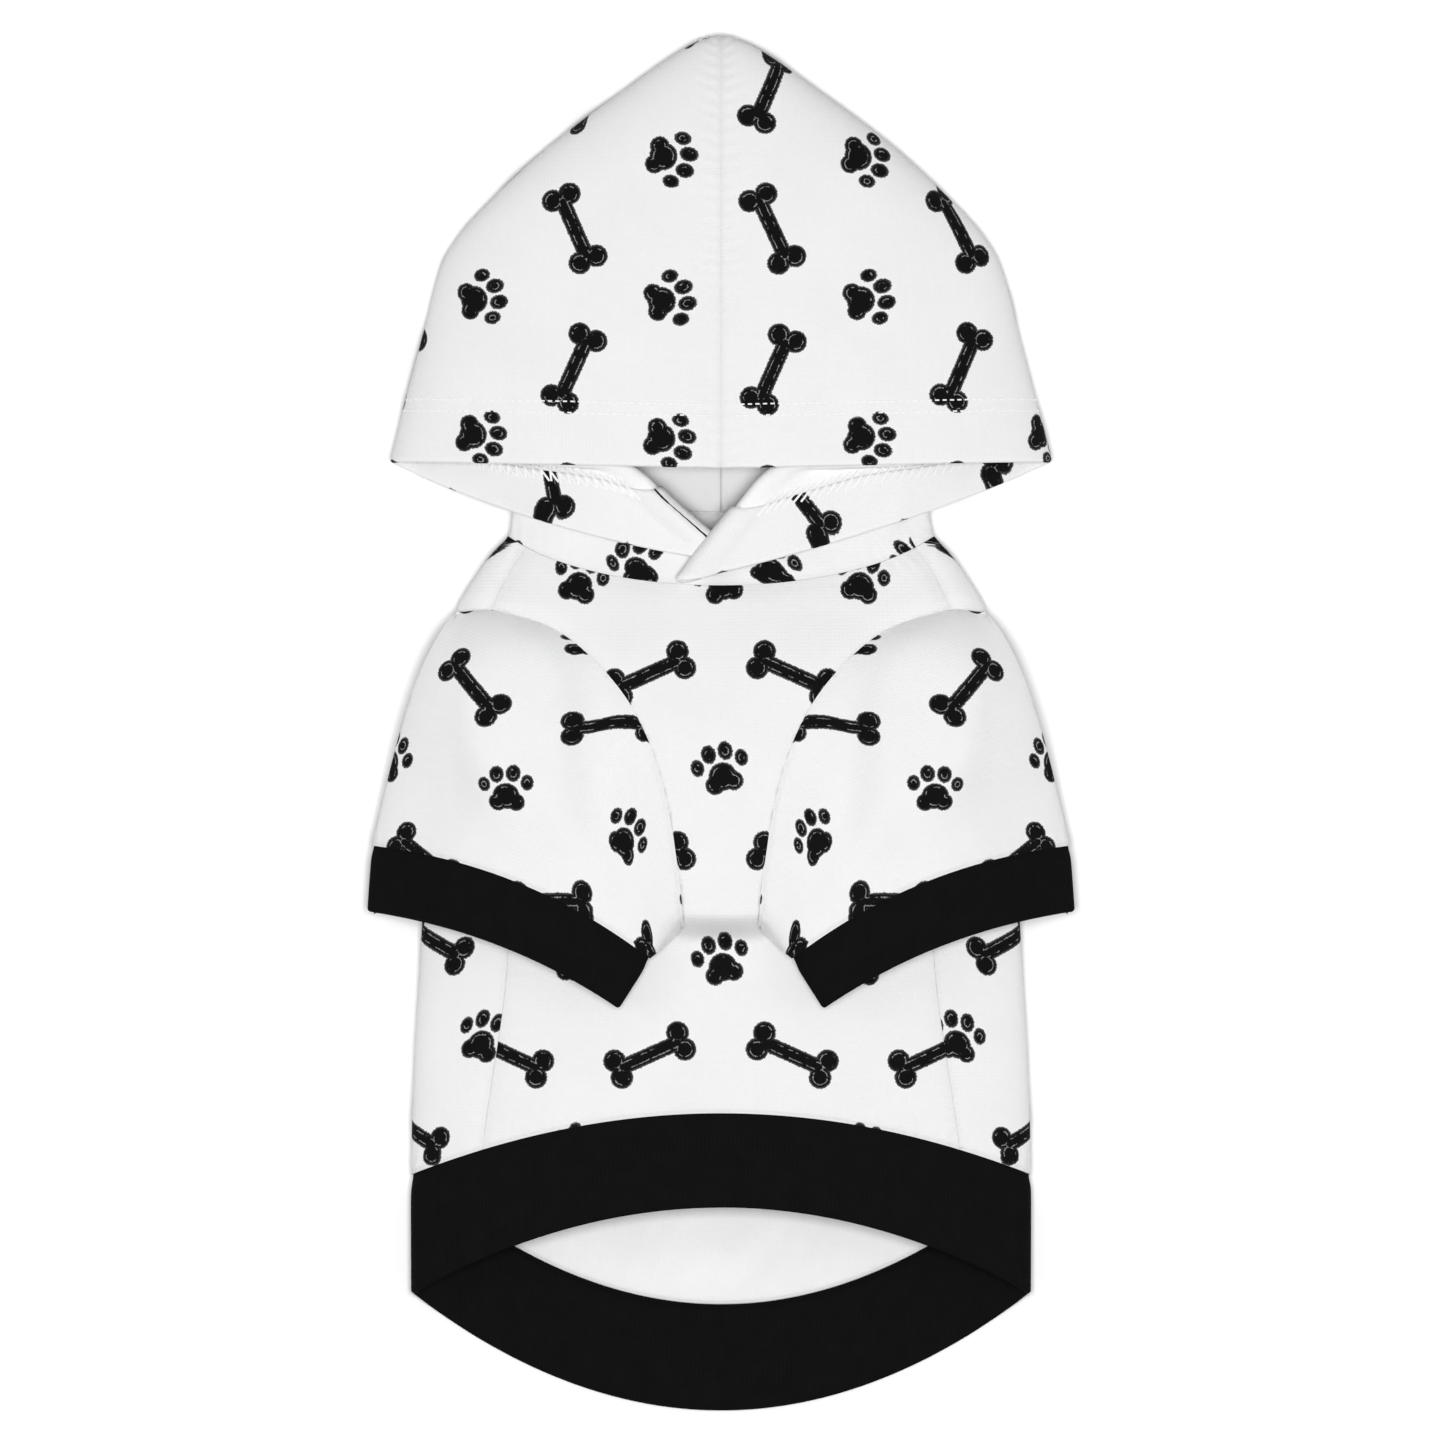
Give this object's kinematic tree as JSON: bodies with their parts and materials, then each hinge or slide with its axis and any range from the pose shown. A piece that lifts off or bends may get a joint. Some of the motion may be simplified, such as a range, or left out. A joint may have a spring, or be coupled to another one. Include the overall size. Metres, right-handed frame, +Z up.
{
  "type": "dog hoodie",
  "caption": "Knitted dog hoodie lying belly side up: laid-back hood with rolled front edges, short sleeves with ribbed cuffs and a ribbed hem band.",
  "frame": {"origin": "middle of the garment's length and width, on the surface that it lies on", "axes": "+Z up, from the back panel to the chest; +Y along the garment, from the hem to the tip of the hood; +X to the right as seen from above"},
  "size_m": [0.2828, 0.5492, 0.0476],
  "materials": {
    "fleece": "soft matt knit",
    "rib": "matt rib knit"
  },
  "bodies": {
    "root": {"hood_left": "fleece", "hood_right": "fleece", "neck_band": "fleece", "back_panel": "fleece", "chest_panel": "fleece", "sleeve_left": "fleece", "sleeve_right": "fleece", "cuff_left": "rib", "cuff_right": "rib", "waistband": "rib"}
  },
  "joints": []
}
